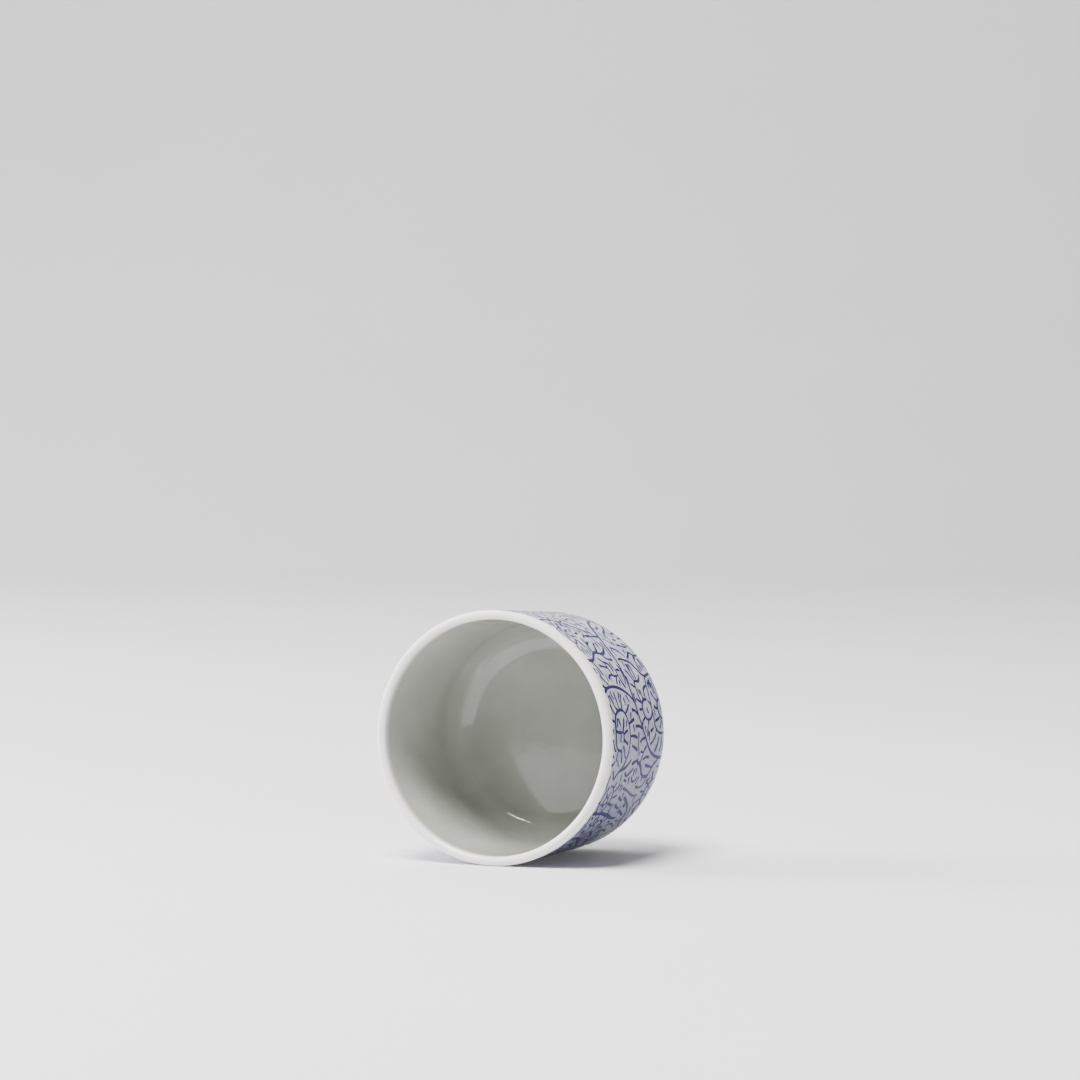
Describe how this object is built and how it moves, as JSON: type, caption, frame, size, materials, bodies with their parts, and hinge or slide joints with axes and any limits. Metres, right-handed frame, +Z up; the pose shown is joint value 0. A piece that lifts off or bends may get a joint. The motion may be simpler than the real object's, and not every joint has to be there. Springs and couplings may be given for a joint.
{
  "type": "teacup",
  "caption": "Handleless porcelain teacup with a nearly straight wall, rounded belly, glazed inside and a cobalt-painted outside, on a bare foot ring.",
  "frame": {"origin": "centre of the foot ring's standing face", "axes": "+Z up along the cup's axis, from the foot to the mouth; +X and +Y are any two square directions, because the cup is round"},
  "size_m": [0.08, 0.08, 0.061],
  "materials": {
    "porcelain_biscuit": "matt fired porcelain under the coats",
    "bare_foot": "bare fired porcelain, fine grit",
    "inner_glaze": "glossy clear glaze, faint grey-green",
    "outer_glaze": "glossy clear glaze over white body",
    "base_glaze": "glossy clear glaze, slightly pooled",
    "cobalt_painting": "cobalt blue brushwork under the glaze"
  },
  "bodies": {
    "root": {"porcelain_body": "porcelain_biscuit", "foot_ring": "bare_foot", "inner_glaze": "inner_glaze", "outer_glaze": "outer_glaze", "base_glaze": "base_glaze", "painted_band": "cobalt_painting"}
  },
  "joints": []
}
